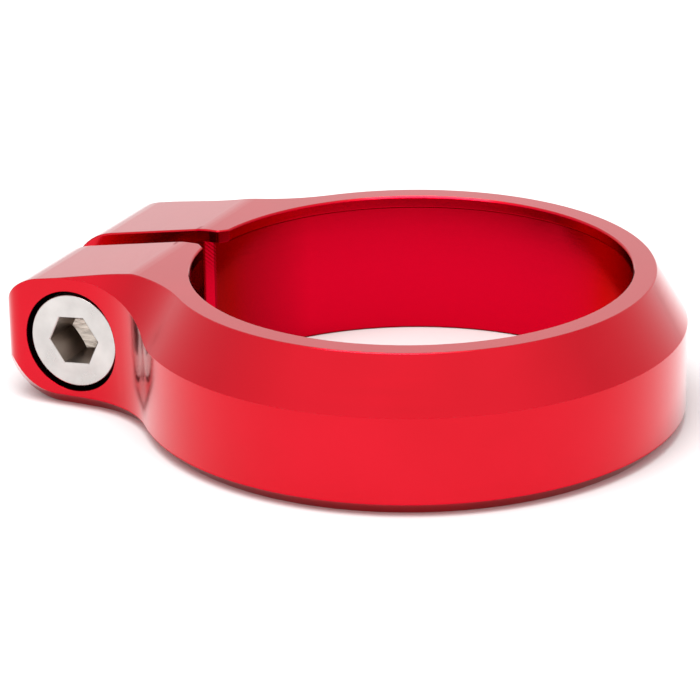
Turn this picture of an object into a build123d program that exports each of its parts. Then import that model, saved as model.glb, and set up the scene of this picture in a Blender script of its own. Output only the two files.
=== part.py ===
"""Seatpost clamp: a split collar machined in one piece, closed by one socket head cap screw.

The origin is on the bore's axis in the plane of the flat underside. +Z runs up the bore to the lip,
the lugs point to -X, and the screw lies along Y with its head in the lug on the -Y side.
"""

import os
from math import radians, sqrt, tan

from build123d import *

# Ring, in millimetres and degrees
BORE_RADIUS = 19.85
WALL = 3.18
HEIGHT = 12.85
LIP_WIDTH = 1.4
LIP_HEIGHT = 1.1
TOP_WIDTH = 1.95
SHOULDER_ANGLE = 30.6
UNDERSIDE_CHAMFER = 1.1
EDGE_BREAK = 0.15

# Lugs, their length measured out from the ring's wall and their fold from the ring's flat top
LUG_LENGTH = 10.54
LUG_HALF_WIDTH = 11.03
LUG_BLEND_RADIUS = 9.85
LUG_SHOULDER = 0.73
LUG_TOP_BLEND_RADIUS = 14.0
LUG_CORNER_RADIUS = 2.36
LUG_SLOPE = 10.0
LUG_FOLD_OFFSET = 0.1
LUG_FOLD_RADIUS = 6.0
LUG_UPPER_END_RADIUS = 4.64
LUG_LOWER_END_RADIUS = 5.29

# Slot between the lugs
SLOT_WIDTH = 3.5
SLOT_FLARE = 0.75
SLOT_FLARE_RADIUS = 0.4

# Screw, an M5 x 16 socket head cap screw
SCREW_INSET = 7.12
SCREW_LEVEL = 6.05
SHANK_RADIUS = 2.5
HEAD_RADIUS = 4.05
HEAD_HEIGHT = 5.0
HEAD_RIM_RADIUS = 0.12
HEAD_SUNK = 0.2
NECK_RADIUS = 0.2
TIP_SUNK = 0.86
TIP_CHAMFER = 0.5
SOCKET_WIDTH = 4.0
SOCKET_DEPTH = 3.9
SOCKET_TURN = -5.0

# Room round the screw
HEAD_CLEARANCE = 0.4
SHANK_CLEARANCE = 0.25
THREAD_CLEARANCE = 0.05
THREAD_MOUTH_CHAMFER = 0.4

# How far a cutting shape runs past what it cuts, and how near two lengths count as the same
CUT_MARGIN = 2.0
SAME = 1e-4

WALL_RADIUS = BORE_RADIUS + WALL
LIP_RADIUS = BORE_RADIUS - LIP_WIDTH
LIP_FLOOR = HEIGHT - LIP_HEIGHT
TOP_RADIUS = LIP_RADIUS + TOP_WIDTH
LUG_END = WALL_RADIUS + LUG_LENGTH
LUG_FOLD = TOP_RADIUS + LUG_FOLD_OFFSET
SCREW_REACH = LUG_END - SCREW_INSET
HEAD_FACE = HEAD_SUNK - LUG_HALF_WIDTH
HEAD_SEAT = HEAD_FACE + HEAD_HEIGHT
TIP = LUG_HALF_WIDTH - TIP_SUNK


def outline(ring_radius, half_width, blend_radius):
    """Plan of the collar at one height: a disc joined to the lugs' block by two concave arcs."""
    with BuildSketch() as plan:
        Circle(ring_radius)
        with Locations((-LUG_END, 0)):
            Rectangle(LUG_END, 2 * half_width, align=(Align.MIN, Align.CENTER))
        on_side = plan.vertices().filter_by(lambda v: abs(abs(v.Y) - half_width) < SAME)
        fillet(on_side.group_by(Axis.X)[1], blend_radius)
        fillet(plan.vertices().group_by(Axis.X)[0], LUG_CORNER_RADIUS)
    return plan.sketch


def side_view():
    """Block with the collar's side view: flat underside, lug top that falls to a rounded end."""
    end_height = HEIGHT - (LUG_END - LUG_FOLD) * tan(radians(LUG_SLOPE))
    front = WALL_RADIUS + CUT_MARGIN
    with BuildSketch(Plane.XZ) as view:
        with BuildLine():
            edge = FilletPolyline(
                (front, 0),
                (-LUG_END, 0),
                (-LUG_END, end_height),
                (-LUG_FOLD, HEIGHT),
                (front, HEIGHT),
                radius=[LUG_LOWER_END_RADIUS, LUG_UPPER_END_RADIUS, LUG_FOLD_RADIUS],
            )
            Line(edge @ 1, edge @ 0)
        make_face()
    return extrude(view.sketch, WALL_RADIUS + LUG_HALF_WIDTH, both=True)


def lower_end_chamfer():
    """What the underside's chamfer takes off the lugs where it follows the rounding of their lower ends."""
    inner_edge = LUG_HALF_WIDTH - UNDERSIDE_CHAMFER
    arc_start = LUG_LOWER_END_RADIUS - LUG_END
    with BuildSketch(Plane.XZ.offset(inner_edge)) as view:
        with BuildLine():
            edge = FilletPolyline(
                (0, 0), (-LUG_END, 0), (-LUG_END, 2 * HEIGHT), radius=LUG_LOWER_END_RADIUS
            )
            Polyline(edge @ 1, (0, 2 * HEIGHT), edge @ 0)
        make_face()
    kept = extrude(view.sketch, UNDERSIDE_CHAMFER, taper=45)
    corner = Box(
        2 * LUG_LOWER_END_RADIUS,
        UNDERSIDE_CHAMFER,
        2 * HEIGHT,
        align=(Align.MAX, Align.MAX, Align.CENTER),
    )
    near = Pos(arc_start, -inner_edge, 0) * corner - kept
    return near + mirror(near, Plane.XZ)


def blank():
    """Collar before its holes, with the rim of its top rounded.

    The walls stand upright on one outline. The shoulder slopes down and out from a second, smaller
    outline at the top, so it is widest round the ring and runs out to nothing along the lugs.
    """
    walls = outline(WALL_RADIUS, LUG_HALF_WIDTH, LUG_BLEND_RADIUS)
    top = outline(TOP_RADIUS, LUG_HALF_WIDTH - LUG_SHOULDER, LUG_TOP_BLEND_RADIUS)
    shoulder_depth = (WALL_RADIUS - TOP_RADIUS) / tan(radians(SHOULDER_ANGLE)) + CUT_MARGIN
    lower = extrude(walls, HEIGHT - shoulder_depth)
    lower = chamfer(lower.edges().group_by(Axis.Z)[0], UNDERSIDE_CHAMFER)
    upper = extrude(Pos(0, 0, HEIGHT) * walls, -shoulder_depth)
    shoulder = extrude(Pos(0, 0, HEIGHT) * top, -shoulder_depth, taper=-SHOULDER_ANGLE)
    body = (lower + (upper & shoulder)) & side_view()
    body -= lower_end_chamfer()
    tops = body.faces().filter_by(lambda f: f.center().Z > HEIGHT / 2 and f.normal_at().Z > 0.9)
    rim = tops.edges().filter_by(Axis.Y, reverse=True)
    rim = rim.filter_by(lambda e: abs(abs(e.center().Y) - LUG_HALF_WIDTH) > SAME)
    return fillet(rim, EDGE_BREAK)


def turned(half_section, axis_place):
    """Solid turned from its half section, given as radius and length pairs along the axis."""
    with BuildSketch(axis_place) as profile:
        with BuildLine():
            Polyline(*half_section, close=True)
        make_face()
    return revolve(profile.sketch, Axis(axis_place.origin, axis_place.y_dir))


def bore_cut():
    """Bore for the seat tube and the smaller opening in the lip above it, with their edges broken."""
    mouth = EDGE_BREAK + CUT_MARGIN
    half_section = [
        (0, -CUT_MARGIN),
        (BORE_RADIUS + mouth, -CUT_MARGIN),
        (BORE_RADIUS, EDGE_BREAK),
        (BORE_RADIUS, LIP_FLOOR),
        (LIP_RADIUS + EDGE_BREAK, LIP_FLOOR),
        (LIP_RADIUS, LIP_FLOOR + EDGE_BREAK),
        (LIP_RADIUS, HEIGHT - EDGE_BREAK),
        (LIP_RADIUS + mouth, HEIGHT + CUT_MARGIN),
        (0, HEIGHT + CUT_MARGIN),
    ]
    return turned(half_section, Plane.XZ)


def slot_cut(mouth_radius, low, high):
    """Slot between the lugs over one stretch of height, flared and rounded where it meets the bore."""
    half = SLOT_WIDTH / 2
    mouth_half = half + SLOT_FLARE
    mouth = -sqrt(mouth_radius**2 - mouth_half**2)
    with BuildSketch(Plane.XY.offset(low)) as cut:
        with BuildLine():
            Polyline(
                (-LUG_END - CUT_MARGIN, half),
                (mouth - SLOT_FLARE, half),
                (mouth + CUT_MARGIN, mouth_half + CUT_MARGIN),
                (mouth + CUT_MARGIN, -mouth_half - CUT_MARGIN),
                (mouth - SLOT_FLARE, -half),
                (-LUG_END - CUT_MARGIN, -half),
                close=True,
            )
        make_face()
        corners = cut.vertices().filter_by(lambda v: abs(v.X - mouth + SLOT_FLARE) < SAME)
        fillet(corners, SLOT_FLARE_RADIUS)
    return extrude(cut.sketch, high - low)


def round_slot(body):
    """Collar with the edges rounded that run along the slot, over the lugs' ends and under them."""
    walls = body.faces().filter_by(Axis.Y)
    walls = walls.filter_by(lambda f: abs(abs(f.center().Y) - SLOT_WIDTH / 2) < SAME)
    return fillet(walls.edges().group_by(Axis.Z)[0], EDGE_BREAK)


def screw_hole():
    """Stepped hole through both lugs: counterbore, clearance hole up to the slot, then the thread."""
    counterbore = HEAD_RADIUS + HEAD_CLEARANCE
    clearance = SHANK_RADIUS + SHANK_CLEARANCE
    thread = SHANK_RADIUS + THREAD_CLEARANCE
    outside = LUG_HALF_WIDTH + CUT_MARGIN
    half_section = [
        (0, -outside),
        (counterbore, -outside),
        (counterbore, HEAD_SEAT),
        (clearance, HEAD_SEAT),
        (clearance, 0),
        (thread, 0),
        (thread, LUG_HALF_WIDTH - THREAD_MOUTH_CHAMFER),
        (thread + THREAD_MOUTH_CHAMFER + CUT_MARGIN, outside),
        (0, outside),
    ]
    return turned(half_section, Plane((-SCREW_REACH, 0, SCREW_LEVEL)))


def collar():
    """One-piece collar with its bore, lip, slot and the stepped hole for the screw."""
    body = blank() - bore_cut()
    body -= slot_cut(BORE_RADIUS, -CUT_MARGIN, LIP_FLOOR)
    body -= slot_cut(LIP_RADIUS, LIP_FLOOR, HEIGHT + CUT_MARGIN)
    return round_slot(body) - screw_hole()


def clamp_bolt():
    """Socket head cap screw: rounded head with a hexagon socket, shank plain at the thread's diameter."""
    length = TIP - HEAD_FACE
    with BuildSketch(Plane.XY) as half_section:
        with BuildLine():
            Polyline(
                (0, 0),
                (HEAD_RADIUS, 0),
                (HEAD_RADIUS, HEAD_HEIGHT),
                (SHANK_RADIUS, HEAD_HEIGHT),
                (SHANK_RADIUS, length),
                (0, length),
                close=True,
            )
        make_face()
        fillet(half_section.vertices().group_by(Axis.Y)[0].sort_by(Axis.X)[-1], HEAD_RIM_RADIUS)
        chamfer(half_section.vertices().group_by(Axis.Y)[-1].sort_by(Axis.X)[-1], TIP_CHAMFER)
        under_head = half_section.vertices().filter_by(lambda v: abs(v.Y - HEAD_HEIGHT) < SAME)
        fillet(under_head.sort_by(Axis.X)[0], NECK_RADIUS)
    screw = revolve(half_section.sketch, Axis.Y)
    face = Plane((0, 0, 0), x_dir=(1, 0, 0), z_dir=(0, 1, 0))
    hexagon = RegularPolygon(SOCKET_WIDTH / 2, 6, major_radius=False, rotation=SOCKET_TURN)
    screw -= extrude(face * hexagon, SOCKET_DEPTH)
    return Pos(-SCREW_REACH, HEAD_FACE, SCREW_LEVEL) * screw


os.makedirs("parts", exist_ok=True)
export_step(collar(), "parts/collar.step")
export_step(clamp_bolt(), "parts/clamp_bolt.step")
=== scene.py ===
"""Studio picture of a seatpost clamp: a red anodised collar closed by one steel socket head screw.

The frame comes from the solids, in metres: the bore's axis is Z, the underside lies in z = 0, the
lugs point to -X and the screw lies along Y with its head towards -Y.
"""

import math

import bpy
import numpy as np
from bpy.props import FloatProperty, FloatVectorProperty, PointerProperty
from mathutils import Matrix, Vector


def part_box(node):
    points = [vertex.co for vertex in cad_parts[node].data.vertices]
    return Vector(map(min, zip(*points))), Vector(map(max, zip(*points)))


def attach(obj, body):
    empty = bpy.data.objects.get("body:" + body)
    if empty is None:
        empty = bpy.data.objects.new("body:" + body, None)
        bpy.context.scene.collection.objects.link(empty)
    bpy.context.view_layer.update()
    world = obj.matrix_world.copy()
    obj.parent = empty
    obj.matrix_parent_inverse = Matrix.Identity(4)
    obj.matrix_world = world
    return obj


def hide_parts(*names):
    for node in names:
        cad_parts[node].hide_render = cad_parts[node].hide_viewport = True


bl_info = {
    "name": "Seatpost Clamp",
    "version": (1, 0, 0),
    "blender": (4, 5, 0),
    "location": "3D View > Sidebar > Clamp",
    "description": "Dresses a seatpost clamp's frame and sets up its studio",
    "category": "Object",
}

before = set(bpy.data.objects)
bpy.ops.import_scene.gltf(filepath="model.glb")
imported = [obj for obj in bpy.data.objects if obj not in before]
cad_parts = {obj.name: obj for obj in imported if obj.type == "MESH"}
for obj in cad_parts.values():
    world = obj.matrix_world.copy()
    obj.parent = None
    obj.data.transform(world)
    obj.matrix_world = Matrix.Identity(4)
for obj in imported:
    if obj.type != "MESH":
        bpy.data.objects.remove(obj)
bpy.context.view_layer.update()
SCREW_LOW, SCREW_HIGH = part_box("clamp_bolt")
SCREW_AXIS = (SCREW_LOW + SCREW_HIGH) / 2
MM = 0.001

# Widths over which a mask on the collar fades out
SOFT_BORDER = 0.1 * MM
SHARP_BORDER = 0.01 * MM


def length_property(name, description, millimetres):
    """A length, shown in the scene's own unit."""
    return FloatProperty(
        name=name,
        description=description,
        default=millimetres * MM,
        min=0.0,
        precision=5,
        unit="LENGTH",
    )


def angle_property(name, description, degrees):
    """An angle, kept in radians and shown in degrees."""
    return FloatProperty(
        name=name, description=description, default=math.radians(degrees), subtype="ANGLE"
    )


def factor_property(name, description, default):
    """A share from nothing to all."""
    return FloatProperty(
        name=name, description=description, default=default, min=0.0, max=1.0, subtype="FACTOR"
    )


def number_property(name, description, default, lowest=0.0):
    """A plain number with a lower limit."""
    return FloatProperty(name=name, description=description, default=default, min=lowest)


def colour_property(name, description, default):
    """A colour in linear light."""
    return FloatVectorProperty(
        name=name,
        description=description,
        default=default,
        min=0.0,
        max=1.0,
        size=3,
        subtype="COLOR",
    )


def place_property(name, description, default):
    """A place in the scene, in metres."""
    return FloatVectorProperty(
        name=name,
        description=description,
        default=default,
        size=3,
        subtype="TRANSLATION",
        unit="LENGTH",
    )


class ClampFinish(bpy.types.PropertyGroup):
    """Colours and polish of the clamp."""

    dye: colour_property("Dye", "Collar's colour seen face on", (0.62, 0.001, 0.0138))
    dye_deep: colour_property("Deep dye", "Where the dye took more", (0.58, 0.0005, 0.0108))
    red_roughness: factor_property("Collar roughness", "Spread of the collar's polish", 0.17)
    oxide_index: number_property("Oxide index", "Refractive index of the clear oxide", 1.25, 1.0)
    oxide_roughness: factor_property("Oxide roughness", "Spread of the oxide's gloss", 0.12)
    edge_round: length_property("Edge rounding", "How far tumbled edges are softened", 0.1)

    bore_dye: colour_property("Bore dye", "Bore, slot's mouth, lower bevel", (0.6, 0.0, 0.017))
    # Painted shade: the bore's colour darkens beside the slot, from this start out to the bore's
    # reach.
    bore_slot_shade: colour_property("Bore slot shade", "Bore beside the slot", (0.27, 0.0, 0.006))
    slot_shade_start: length_property(
        "Slot shade start", "From the axis towards the slot to where the deepening starts", 15.561
    )
    bore_edge: colour_property("Bore edge", "Tint of the bore's glancing light", (0.08, 0.0, 0.002))
    bore_oxide: factor_property("Bore oxide", "Share of the oxide's gloss in the bore", 0.1)
    bore_reach: length_property("Bore reach", "How far out the bore's finish goes", 19.95)
    bore_top: length_property("Bore top", "How high the bore's finish goes", 12.7)
    lip_floor: length_property("Lip floor", "Height of the lip's underside", 11.7)
    mouth_half: length_property("Mouth half width", "Half the slot's flared mouth", 2.55)
    mouth_reach: length_property("Mouth reach", "How far out the slot's mouth goes", 21.2)
    cutter_pitch: length_property("Cutter pitch", "Height between the mouth's marks", 0.36)
    bevel_height: length_property("Bevel height", "Height of the underside's bevel", 1.15)
    bevel_share: factor_property("Bevel share", "Share of the bore's finish on the bevel", 0.5)
    # Painted shade: the inside of the screw's hole is coloured dark.
    hole_shade: colour_property("Hole shade", "Inside of the screw's hole", (0.32, 0.001, 0.008))
    hole_reach: length_property("Hole reach", "How far out the screw's hole goes", 4.46)

    steel: colour_property("Steel", "Screw's turned faces", (0.65, 0.615, 0.595))
    worn_share: factor_property("Worn share", "Share of the steel's colour where worn", 0.84)
    # Painted shade: the socket's walls are coloured dark, darkest at their foot.
    socket_shade: colour_property("Socket shade", "Socket's walls", (0.229, 0.172, 0.138))
    floor_steel: colour_property("Socket floor", "Socket's drilled floor", (0.61, 0.527, 0.461))
    torn_share: factor_property("Torn share", "Share of the floor's colour where torn", 0.57)
    steel_roughness: factor_property("Steel roughness", "Spread of the screw's finish", 0.32)


class ClampScrew(bpy.types.PropertyGroup):
    """Sizes of the screw; the width of its head and its whole length come from the frame."""

    head_height: length_property("Head height", "From the head's face to its seat", 5.0)
    rim_radius: length_property("Rim radius", "Rounding of the head's outer edge", 0.12)
    socket_width: length_property("Key size", "Width of the hexagon across its flats", 4.0)
    socket_depth: length_property("Socket depth", "Depth of the hexagon at its corners", 3.9)
    socket_cone: length_property("Socket cone", "Depth of the drill's cone below that", 0.9)
    socket_turn: angle_property("Socket turn", "Turn of a corner from +X towards +Z", 5.0)
    socket_bevel: length_property("Socket bevel", "Bevel round the socket's mouth", 0.09)
    face_dish: length_property("Face dish", "How far the head's face is dished", 0.04)
    shank_radius: length_property("Shank radius", "Outer radius of the thread", 2.5)
    pitch: length_property("Pitch", "Travel of the thread in one turn", 0.8)
    thread_depth: length_property("Thread depth", "From the thread's crest to its root", 0.43)
    neck: length_property("Neck", "Plain stretch between head and thread", 0.3)
    tip_chamfer: length_property("Tip chamfer", "Bevel at the end of the thread", 0.5)


class ClampStudio(bpy.types.PropertyGroup):
    """Camera, light and floor."""

    camera_place: place_property(
        "Camera place", "Where the camera stands", (0.11695, -0.25615, 0.11241)
    )
    camera_azimuth: angle_property("Camera azimuth", "Turn from +Y towards -X", 25.6)
    camera_pitch: angle_property("Camera pitch", "How far the camera looks down", 20.8)
    camera_roll: angle_property("Camera roll", "Lean about the line of sight", -0.89)
    lens: number_property("Lens", "Focal length on a 36 mm sensor, in millimetres", 184.3, 10.0)
    room: number_property("Room", "Brightness of the white room", 1.0)
    front_glow: number_property("Front glow", "Added brightness above the camera", 0.27)
    glow_towards: FloatVectorProperty(
        name="Glow towards",
        description="Middle of the room's brighter part",
        default=(0.25, -0.72, 0.65),
        size=3,
        subtype="DIRECTION",
    )
    glow_start: factor_property("Glow start", "Cosine to its middle where the glow starts", 0.3)
    glow_full: factor_property("Glow full", "Cosine to its middle where the glow is full", 0.75)
    overhead: number_property("Overhead light", "Power of the soft lamp, in watts", 1.3)
    overhead_place: place_property(
        "Overhead place", "Where the soft lamp hangs", (0.0, -0.12, 0.35)
    )
    overhead_size: length_property("Overhead size", "Side of the soft lamp", 250.0)
    floor_white: factor_property("Floor white", "How much light the floor sends back", 0.7)


def connect(tree, node, sockets):
    """Link each named socket of a node to another socket, or give it a constant."""
    for key, value in sockets.items():
        if isinstance(value, bpy.types.NodeSocket):
            tree.links.new(value, node.inputs[key])
        else:
            node.inputs[key].default_value = value


def add_node(tree, kind, sockets=None, **settings):
    """Shader node with its settings and its sockets' links and constants."""
    made = tree.nodes.new(kind)
    for name, value in settings.items():
        setattr(made, name, value)
    connect(tree, made, sockets or {})
    return made


def calculate(tree, operation, first, second=0.0):
    """Result of one sum on two numbers or sockets."""
    return add_node(tree, "ShaderNodeMath", {0: first, 1: second}, operation=operation).outputs[0]


def product(tree, first, *others):
    """Product of numbers or sockets; of masks, the part that all of them cover."""
    for other in others:
        first = calculate(tree, "MULTIPLY", first, other)
    return first


def rescale(tree, value, low, high, new_low, new_high):
    """Number carried from one range to another and held at its ends."""
    sockets = {
        "Value": value,
        "From Min": low,
        "From Max": high,
        "To Min": new_low,
        "To Max": new_high,
    }
    return add_node(tree, "ShaderNodeMapRange", sockets).outputs["Result"]


def up_to(tree, value, limit, border=SOFT_BORDER):
    """One below a limit and nothing above it, with a border between."""
    return rescale(tree, value, limit, limit + border, 1.0, 0.0)


def noise(tree, vector, scale, detail=2.0):
    """Cloudy number round one half, from a place and the count of clouds in a unit of length."""
    sockets = {"Vector": vector, "Scale": scale, "Detail": detail}
    return add_node(tree, "ShaderNodeTexNoise", sockets).outputs["Fac"]


def stretched_noise(tree, place, counts, turn=0.0, detail=2.0):
    """Cloudy number of a place scaled by a count of clouds along each axis, then turned about Y."""
    sockets = {"Vector": place, "Rotation": (0.0, turn, 0.0), "Scale": counts}
    stretched = add_node(tree, "ShaderNodeMapping", sockets)
    return noise(tree, stretched.outputs["Vector"], 1.0, detail)


def swing(tree, clouds, low, high, half_range=0.2):
    """Cloudy number carried from its usual range round one half to another range."""
    return rescale(tree, clouds, 0.5 - half_range, 0.5 + half_range, low, high)


def mix_numbers(tree, factor, first, second):
    """Number between two others."""
    sockets = {"Factor": factor, "A": first, "B": second}
    return add_node(tree, "ShaderNodeMix", sockets, data_type="FLOAT").outputs["Result"]


def mix_colours(tree, factor, first, second):
    """Colour between two others."""
    made = add_node(tree, "ShaderNodeMix", {"Factor": factor}, data_type="RGBA")
    for name, value in (("A", first), ("B", second)):
        socket = next(s for s in made.inputs if s.name == name and s.type == "RGBA")
        if isinstance(value, bpy.types.NodeSocket):
            tree.links.new(value, socket)
        else:
            socket.default_value = (*value, 1.0)
    return next(s for s in made.outputs if s.type == "RGBA")


def bumped(tree, height, depth, normal=None):
    """Surface direction tilted by a height, where a height of one rises by the depth."""
    sockets = {"Strength": 1.0, "Distance": depth, "Height": height}
    if normal is not None:
        sockets["Normal"] = normal
    return add_node(tree, "ShaderNodeBump", sockets).outputs["Normal"]


def new_material(name):
    """Node material with its tree and shader."""
    material = bpy.data.materials.new(name)
    material.use_nodes = True
    tree = material.node_tree
    return material, tree, tree.nodes["Principled BSDF"]


def around_axis(tree, centre, across):
    """Place measured from an axis and distance from it; across blanks out the axis's direction."""
    place = add_node(tree, "ShaderNodeTexCoord").outputs["Object"]
    shift = {"Vector": place, "Location": [-c for c in centre]}
    moved = add_node(tree, "ShaderNodeMapping", shift).outputs["Vector"]
    flat = add_node(tree, "ShaderNodeVectorMath", {0: moved, 1: across}, operation="MULTIPLY")
    length = add_node(tree, "ShaderNodeVectorMath", {0: flat.outputs["Vector"]}, operation="LENGTH")
    return moved, length.outputs["Value"]


def turned_lines(tree, place, distance, axis, spacing, drift):
    """Fine rings that a lathe leaves: they follow distance plus height and drift slowly round."""
    split = add_node(tree, "ShaderNodeSeparateXYZ", {0: place}).outputs
    rings = calculate(tree, "DIVIDE", calculate(tree, "ADD", distance, split[axis]), spacing)
    others = [name for name in "XYZ" if name != axis]
    slow = [calculate(tree, "DIVIDE", split[name], drift) for name in others]
    vector = add_node(tree, "ShaderNodeCombineXYZ", {0: slow[0], 1: slow[1], 2: rings})
    return noise(tree, vector.outputs["Vector"], 1.0, 1.0)


def machined_inside(tree, place, distance, finish):
    """Mask of the bore, the slot's mouth and, in part, the lower bevel, then the cutter's marks.

    The marks are a sine of the height plus a slant times the distance from the slot's middle. They
    fade in up the slot's mouth and stop under the lip.
    """
    slant = 1.3
    fade_start = 0.55 * finish.bore_top
    fade_end = 0.8 * finish.bore_top
    split = add_node(tree, "ShaderNodeSeparateXYZ", {0: place}).outputs
    up = split["Z"]
    aside = calculate(tree, "ABSOLUTE", split["Y"])
    mouth = product(
        tree,
        up_to(tree, split["X"], -finish.bore_reach / 2),
        up_to(tree, aside, finish.mouth_half),
        up_to(tree, distance, finish.mouth_reach),
    )
    near = calculate(tree, "MAXIMUM", mouth, up_to(tree, distance, finish.bore_reach))
    near = product(tree, near, up_to(tree, up, finish.bore_top))
    bevel = product(tree, up_to(tree, up, finish.bevel_height), finish.bevel_share)

    climb = calculate(tree, "ADD", up, product(tree, aside, slant))
    wave = calculate(tree, "SINE", product(tree, climb, 2 * math.pi / finish.cutter_pitch))
    fade = rescale(tree, up, fade_start, fade_end, 0.0, 1.0)
    marks = product(tree, mouth, fade, up_to(tree, up, finish.lip_floor), wave)
    return calculate(tree, "MAXIMUM", near, bevel), marks


def screw_hole(tree, finish):
    """One inside the hole on the head's side of the collar, nothing elsewhere."""
    place, distance = around_axis(tree, (SCREW_AXIS.x, 0.0, SCREW_AXIS.z), (1, 0, 1))
    along = add_node(tree, "ShaderNodeSeparateXYZ", {0: place}).outputs["Y"]
    head_side = up_to(tree, along, SCREW_LOW.y / 4, SHARP_BORDER)
    return product(tree, head_side, up_to(tree, distance, finish.hole_reach, SHARP_BORDER))


def collar_dye_and_shade(tree, place, distance, bore, hole, finish):
    """Colour of the outside in soft clouds, of the bore with painted shade beside the slot, and of
    the hole in painted shade.
    """
    clouds_a_metre = 130.0
    clouds = swing(tree, noise(tree, place, clouds_a_metre), 0.0, 1.0)
    outside = mix_colours(tree, clouds, finish.dye_deep, finish.dye)
    across = add_node(tree, "ShaderNodeSeparateXYZ", {0: place}).outputs["X"]
    # Painted shade: the bore turns darker towards the slot.
    shade_by_slot = product(
        tree,
        rescale(tree, across, -finish.bore_reach, -finish.slot_shade_start, 1.0, 0.0),
        up_to(tree, distance, finish.bore_reach, SHARP_BORDER),
    )
    inside = mix_colours(tree, shade_by_slot, finish.bore_dye, finish.bore_slot_shade)
    # The screw's hole takes a dark colour as painted shade.
    return mix_colours(tree, hole, mix_colours(tree, bore, outside, inside), finish.hole_shade)


def anodised_red(finish):
    """Red dyed aluminium: a coloured metal under a clear oxide that whitens at a glance."""
    line_spacing = 0.22 * MM
    line_drift = 9.0 * MM
    grains_a_metre = 7000.0
    polish_swing = 0.02
    grain_height = 0.5
    mark_height = 5.0
    bump_depth = 0.0006 * MM
    edge_samples = 6

    material, tree, shader = new_material("anodised_red")
    place, distance = around_axis(tree, (0, 0, 0), (1, 1, 0))
    lines = turned_lines(tree, place, distance, "Z", line_spacing, line_drift)
    grain = noise(tree, place, grains_a_metre)
    bore, marks = machined_inside(tree, place, distance, finish)
    hole = screw_hole(tree, finish)
    inside = calculate(tree, "MAXIMUM", bore, hole)

    polish = calculate(
        tree, "ADD", swing(tree, lines, -polish_swing, polish_swing), finish.red_roughness
    )
    polish = calculate(tree, "ADD", polish, swing(tree, grain, -polish_swing, polish_swing))
    edges = {"Radius": finish.edge_round}
    rounded = add_node(tree, "ShaderNodeBevel", edges, samples=edge_samples)
    height = calculate(tree, "ADD", lines, product(tree, grain, grain_height))
    height = calculate(tree, "ADD", height, product(tree, marks, mark_height))
    sockets = {
        "Base Color": collar_dye_and_shade(tree, place, distance, bore, hole, finish),
        "Metallic": 1.0,
        "Specular Tint": mix_colours(tree, inside, (1, 1, 1), finish.bore_edge),
        "Roughness": polish,
        "Coat Weight": rescale(tree, inside, 0.0, 1.0, 1.0, finish.bore_oxide),
        "Coat IOR": finish.oxide_index,
        "Coat Roughness": finish.oxide_roughness,
        "Normal": bumped(tree, height, bump_depth, rounded.outputs["Normal"]),
    }
    connect(tree, shader, sockets)
    return material


def satin_steel(finish):
    """Stainless steel: rings on the turned faces, a scratched socket whose walls carry painted
    shade, with a torn floor.
    """
    line_spacing = 0.16 * MM
    line_drift = 2.5 * MM
    clouds_a_metre = 420.0
    scratches_a_metre = (9000.0, 700.0, 9000.0)
    tears_a_metre = (900.0, 900.0, 4200.0)
    tear_turn = 0.6
    fine_detail = 3.0
    wear_half_range = 0.15
    polish_swing = 0.05
    floor_polish = 0.18
    line_height = 0.3
    tear_height = 4.0
    bump_depth = 0.012 * MM

    material, tree, shader = new_material("satin_steel")
    place, distance = around_axis(tree, SCREW_AXIS, (1, 0, 1))
    lines = turned_lines(tree, place, distance, "Y", line_spacing, line_drift)
    clouds = noise(tree, place, clouds_a_metre, fine_detail)
    scratches = stretched_noise(tree, place, scratches_a_metre)
    tears = stretched_noise(tree, place, tears_a_metre, tear_turn, fine_detail)
    walls = add_node(tree, "ShaderNodeAttribute", attribute_name="socket").outputs["Fac"]
    floor = add_node(tree, "ShaderNodeAttribute", attribute_name="socket_floor").outputs["Fac"]

    worn = [finish.worn_share * c for c in finish.steel]
    torn = [finish.torn_share * c for c in finish.floor_steel]
    wear = swing(tree, clouds, 0.0, 1.0, wear_half_range)
    turned = mix_colours(tree, wear, worn, finish.steel)
    mottled = mix_colours(tree, swing(tree, tears, 0.0, 1.0), torn, finish.floor_steel)
    faces = mix_colours(tree, floor, turned, mottled)

    polish = calculate(
        tree, "ADD", swing(tree, clouds, -polish_swing, polish_swing), finish.steel_roughness
    )
    polish = calculate(tree, "SUBTRACT", polish, product(tree, floor, floor_polish))
    height = product(
        tree,
        mix_numbers(tree, walls, lines, scratches),
        rescale(tree, walls, 0.0, 1.0, line_height, 1.0),
    )
    height = calculate(tree, "ADD", height, product(tree, floor, tear_height, tears))
    sockets = {
        # The socket's walls take a dark colour as painted shade, deeper further down.
        "Base Color": mix_colours(tree, walls, faces, finish.socket_shade),
        "Metallic": 1.0,
        "Roughness": polish,
        "Normal": bumped(tree, height, bump_depth),
    }
    connect(tree, shader, sockets)
    return material


def white_paint(white):
    """Floor paint with a faint unevenness."""
    clouds_a_metre = 4.0
    shaded = 0.995 * white
    material, tree, shader = new_material("white_paint")
    place = add_node(tree, "ShaderNodeTexCoord").outputs["Object"]
    clouds = noise(tree, place, clouds_a_metre)
    colour = mix_colours(tree, clouds, [shaded] * 3, [white] * 3)
    connect(tree, shader, {"Base Color": colour, "Roughness": 0.8})
    return material


def socket_bands(size, hexagon):
    """Radius and depth of the socket's floor, then of its walls.

    The floor is a drill's cone cut by the hexagon: its depth is the hexagon's plus the cone's times
    one less the radius over the corner's. The walls rise straight from the floor's edge to the
    bevel round the mouth, with one row close above that edge.
    """
    floor_rows = 7
    wall_rows = 8
    innermost = 0.1
    above_edge = 0.004
    floor_radius = hexagon * np.linspace(innermost, 1.0, floor_rows)[:, None]
    floor_depth = size.socket_depth + size.socket_cone * (1 - floor_radius / hexagon.max())
    rise = np.append(above_edge, np.linspace(0.0, 1.0, wall_rows + 1)[1:])[:, None]
    foot = floor_depth[-1]
    return (floor_radius, floor_depth), (hexagon, foot + (size.socket_bevel - foot) * rise)


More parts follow.
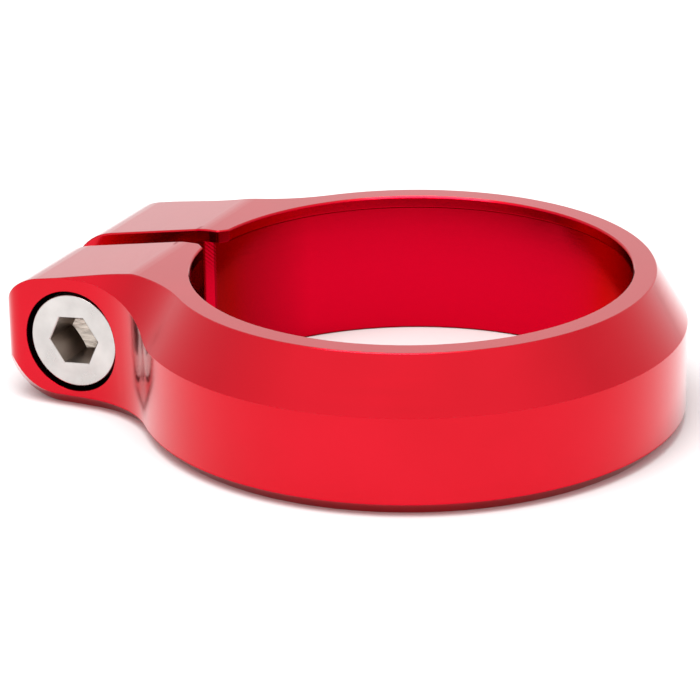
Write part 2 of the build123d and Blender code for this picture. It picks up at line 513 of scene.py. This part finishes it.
def head_bands(size, hexagon, head_radius):
    """Radius and depth of the head's face, then of its rim, then of its side down to the neck.

    The face runs out evenly from the socket's bevelled mouth to the rim, dished by the square of a
    sine. The rim is a quarter circle. The side is straight, with a small bevel at the seat.
    """
    face_rows = 17
    rim_rows = 6
    seat_bevel = 0.15 * MM
    mouth = hexagon * (1 + 2 * size.socket_bevel / size.socket_width)
    face_edge = head_radius - size.rim_radius
    out = np.linspace(0.0, 1.0, face_rows)[:, None]
    face = (mouth + (face_edge - mouth) * out, size.face_dish * np.sin(math.pi * out) ** 2)

    quarter = np.linspace(0.0, math.pi / 2, rim_rows + 1)[1:, None]
    rim_radius = face_edge + size.rim_radius * np.sin(quarter)
    rim_depth = size.rim_radius * (1 - np.cos(quarter))

    seat_radius = head_radius - seat_bevel
    neck_radius = size.shank_radius + seat_bevel
    side_radius = np.array([head_radius, head_radius, seat_radius, neck_radius])
    side_depth = size.head_height - np.array([size.head_height / 2, seat_bevel, 0.0, 0.0])
    return face, (rim_radius, rim_depth), (side_radius[:, None], side_depth[:, None])


def thread_band(size, turn, whole):
    """Radius and depth of the thread from the neck to the tip.

    The radius falls from crest to root by a trapezium of depth over pitch less turn, with a crest
    an eighth and a root a quarter of the pitch wide. The groove grows from nothing over the first
    pitch, and a cone holds the radius down near the tip.
    """
    rows_a_pitch = 16
    crest_half = 1 / 16
    root_start = 3 / 8
    start = size.head_height + size.neck / 2
    count = int(rows_a_pitch * (whole - start) / size.pitch)
    depth = np.linspace(start, whole, count)[:, None]
    phase = np.abs((depth / size.pitch - turn / (2 * math.pi)) % 1.0 - 0.5)
    groove = np.clip((phase - crest_half) / (root_start - crest_half), 0.0, 1.0)
    run_out = np.clip((depth - size.head_height - size.neck) / size.pitch, 0.0, 1.0)
    helix = size.shank_radius - size.thread_depth * groove * run_out
    cone = size.shank_radius + whole - size.tip_chamfer - depth
    return np.minimum(helix, cone), depth


def screw_rows(size, head_radius, whole):
    """Turn, then radius and depth below the head's face of each point, then the socket's marks.

    A row is one turn round the axis from a corner of the hexagon, whose radius is half its width
    over the cosine of the angle from the middle of the nearest flat. The rows run from the
    socket's floor over the face and down the outside to the tip. One mark tells how deep down the
    socket's walls a point is, the other tells the socket's floor.
    """
    columns = 96
    shade_at_mouth = 0.4
    turn = np.linspace(0.0, 2 * math.pi, columns, endpoint=False)
    flat = math.pi / 3
    hexagon = size.socket_width / 2 / np.cos(turn % flat - flat / 2)

    bands = (
        *socket_bands(size, hexagon),
        *head_bands(size, hexagon, head_radius),
        thread_band(size, turn, whole),
    )
    bands = [np.broadcast_arrays(*band, hexagon)[:2] for band in bands]
    radius = np.concatenate([band[0] for band in bands])
    depth = np.concatenate([band[1] for band in bands])

    floor_end = len(bands[0][0])
    wall_end = floor_end + len(bands[1][0])
    floor = np.zeros_like(radius)
    floor[:floor_end] = 1.0
    walls = np.zeros_like(radius)
    # The walls' mark sets painted shade: part of it at the mouth, all of it at the foot.
    down = depth[floor_end:wall_end] / size.socket_depth
    walls[floor_end:wall_end] = shade_at_mouth + (1 - shade_at_mouth) * down
    return turn, radius, depth, {"socket": walls, "socket_floor": floor}


def soften_thread(mesh, start):
    """Shade smoothly over every edge that lies past the start of the thread."""
    ends = np.empty(2 * len(mesh.edges), dtype=np.int32)
    mesh.edges.foreach_get("vertices", ends)
    place = np.empty(3 * len(mesh.vertices))
    mesh.vertices.foreach_get("co", place)
    beyond = place[1::3][ends.reshape(-1, 2)].min(axis=1) > start
    sharp = np.empty(len(mesh.edges), dtype=bool)
    mesh.attributes["sharp_edge"].data.foreach_get("value", sharp)
    mesh.attributes["sharp_edge"].data.foreach_set("value", sharp & ~beyond)


def screw_mesh(size):
    """Closed surface of the screw: rows set round the axis along +Y, with a pole at each end."""
    sharp_from = math.radians(38)
    head_radius = (SCREW_HIGH.x - SCREW_LOW.x) / 2
    whole = SCREW_HIGH.y - SCREW_LOW.y
    turn, radius, depth, marks = screw_rows(size, head_radius, whole)
    rows, columns = radius.shape
    angle = turn + size.socket_turn
    across = SCREW_AXIS.x + radius * np.cos(angle)
    up = SCREW_AXIS.z + radius * np.sin(angle)
    points = np.stack([across, SCREW_LOW.y + depth, up], axis=-1).reshape(-1, 3)
    cone_tip = SCREW_LOW.y + size.socket_depth + size.socket_cone
    poles = [(SCREW_AXIS.x, end, SCREW_AXIS.z) for end in (cone_tip, SCREW_HIGH.y)]
    points = np.concatenate([points, poles])

    index = np.arange(rows * columns).reshape(rows, columns)
    beside = np.roll(index, -1, axis=1)
    quads = np.stack([index[:-1], index[1:], beside[1:], beside[:-1]], axis=-1).reshape(-1, 4)
    cone_pole = np.full(columns, rows * columns)
    cone = np.stack([cone_pole, index[0], beside[0]], axis=-1)
    tip = np.stack([cone_pole + 1, beside[-1], index[-1]], axis=-1)

    mesh = bpy.data.meshes.new("clamp_screw")
    mesh.from_pydata(points.tolist(), [], quads.tolist() + cone.tolist() + tip.tolist())
    for name, values in marks.items():
        mark = mesh.attributes.new(name, "FLOAT", "POINT")
        mark.data.foreach_set("value", np.append(values, [values[0, 0], values[-1, 0]]))
    mesh.shade_smooth()
    mesh.set_sharp_from_angle(angle=sharp_from)
    soften_thread(mesh, SCREW_LOW.y + size.head_height + size.neck)
    return mesh


class CLAMP_OT_collar(bpy.types.Operator):
    """Finish the one-piece collar"""

    bl_idname = "clamp.collar"
    bl_label = "Collar"

    def execute(self, context):
        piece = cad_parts["collar"]
        piece.data.materials.clear()
        piece.data.materials.append(anodised_red(context.scene.clamp_finish))
        return {"FINISHED"}


class CLAMP_OT_screw(bpy.types.Operator):
    """Make the socket head screw with its socket and thread"""

    bl_idname = "clamp.screw"
    bl_label = "Screw"

    def execute(self, context):
        mesh = screw_mesh(context.scene.clamp_screw)
        mesh.materials.append(satin_steel(context.scene.clamp_finish))
        piece = bpy.data.objects.new("clamp_screw", mesh)
        context.scene.collection.objects.link(piece)
        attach(piece, "bolt")
        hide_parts("clamp_bolt")
        return {"FINISHED"}


def place_camera(scene, studio):
    """Camera turned to its azimuth, pitched down and leaned, in that order."""
    data = bpy.data.cameras.new("camera")
    data.lens = studio.lens
    data.sensor_width = 36.0
    data.clip_start = 0.01
    data.clip_end = 10.0
    camera = bpy.data.objects.new("camera", data)
    scene.collection.objects.link(camera)
    camera.matrix_world = (
        Matrix.Translation(studio.camera_place)
        @ Matrix.Rotation(studio.camera_azimuth, 4, "Z")
        @ Matrix.Rotation(math.pi / 2 - studio.camera_pitch, 4, "X")
        @ Matrix.Rotation(studio.camera_roll, 4, "Z")
    )
    scene.camera = camera


def lay_floor(scene, studio):
    """Wide white floor under the clamp."""
    reach = 3.0
    mesh = bpy.data.meshes.new("floor")
    corners = [(-reach, -reach, 0), (reach, -reach, 0), (reach, reach, 0), (-reach, reach, 0)]
    mesh.from_pydata(corners, [], [(0, 1, 2, 3)])
    mesh.materials.append(white_paint(studio.floor_white))
    floor = bpy.data.objects.new("floor", mesh)
    scene.collection.objects.link(floor)


def light_room(scene, studio):
    """White room with a glow round one direction.

    The glow is the cosine to that direction, carried from between its start and its full value to
    the added brightness and held.
    """
    world = bpy.data.worlds.new("studio")
    scene.world = world
    world.use_nodes = True
    tree = world.node_tree
    direction = add_node(tree, "ShaderNodeTexCoord").outputs["Generated"]
    aim = studio.glow_towards.normalized()
    cosine = add_node(tree, "ShaderNodeVectorMath", {0: direction, 1: aim}, operation="DOT_PRODUCT")
    glow = rescale(
        tree, cosine.outputs["Value"], studio.glow_start, studio.glow_full, 0.0, studio.front_glow
    )
    brightness = calculate(tree, "ADD", glow, studio.room)
    connect(tree, tree.nodes["Background"], {"Color": (1, 1, 1, 1), "Strength": brightness})


def hang_lamp(scene, studio):
    """Soft square lamp overhead that faces the clamp's origin."""
    lamp = bpy.data.lights.new("overhead", "AREA")
    lamp.shape = "SQUARE"
    lamp.size = studio.overhead_size
    lamp.energy = studio.overhead
    holder = bpy.data.objects.new("overhead", lamp)
    scene.collection.objects.link(holder)
    line = Vector() - studio.overhead_place
    turn = line.to_track_quat("-Z", "Y").to_matrix().to_4x4()
    holder.matrix_world = Matrix.Translation(studio.overhead_place) @ turn


class CLAMP_OT_studio(bpy.types.Operator):
    """Set up the floor, the light and the camera"""

    bl_idname = "clamp.studio"
    bl_label = "Studio"

    def execute(self, context):
        scene = context.scene
        studio = scene.clamp_studio
        place_camera(scene, studio)
        lay_floor(scene, studio)
        light_room(scene, studio)
        hang_lamp(scene, studio)
        scene.view_settings.view_transform = "Standard"
        return {"FINISHED"}


class CLAMP_PT_panel(bpy.types.Panel):
    """Lists the clamp's pieces and its studio"""

    bl_label = "Seatpost Clamp"
    bl_idname = "CLAMP_PT_panel"
    bl_space_type = "VIEW_3D"
    bl_region_type = "UI"
    bl_category = "Clamp"

    def draw(self, context):
        for operator in (CLAMP_OT_collar, CLAMP_OT_screw, CLAMP_OT_studio):
            self.layout.operator(operator.bl_idname)


CLASSES = (
    ClampFinish,
    ClampScrew,
    ClampStudio,
    CLAMP_OT_collar,
    CLAMP_OT_screw,
    CLAMP_OT_studio,
    CLAMP_PT_panel,
)


def register():
    """Register the classes and hang their settings on the scene."""
    for item in CLASSES:
        bpy.utils.register_class(item)
    bpy.types.Scene.clamp_finish = PointerProperty(type=ClampFinish)
    bpy.types.Scene.clamp_screw = PointerProperty(type=ClampScrew)
    bpy.types.Scene.clamp_studio = PointerProperty(type=ClampStudio)


def unregister():
    """Take the settings off the scene and unregister the classes."""
    del bpy.types.Scene.clamp_studio
    del bpy.types.Scene.clamp_screw
    del bpy.types.Scene.clamp_finish
    for item in reversed(CLASSES):
        bpy.utils.unregister_class(item)


def main():
    """Register the classes, then build every piece and the studio."""
    register()
    bpy.ops.clamp.collar()
    bpy.ops.clamp.screw()
    bpy.ops.clamp.studio()


if __name__ == "__main__":
    main()
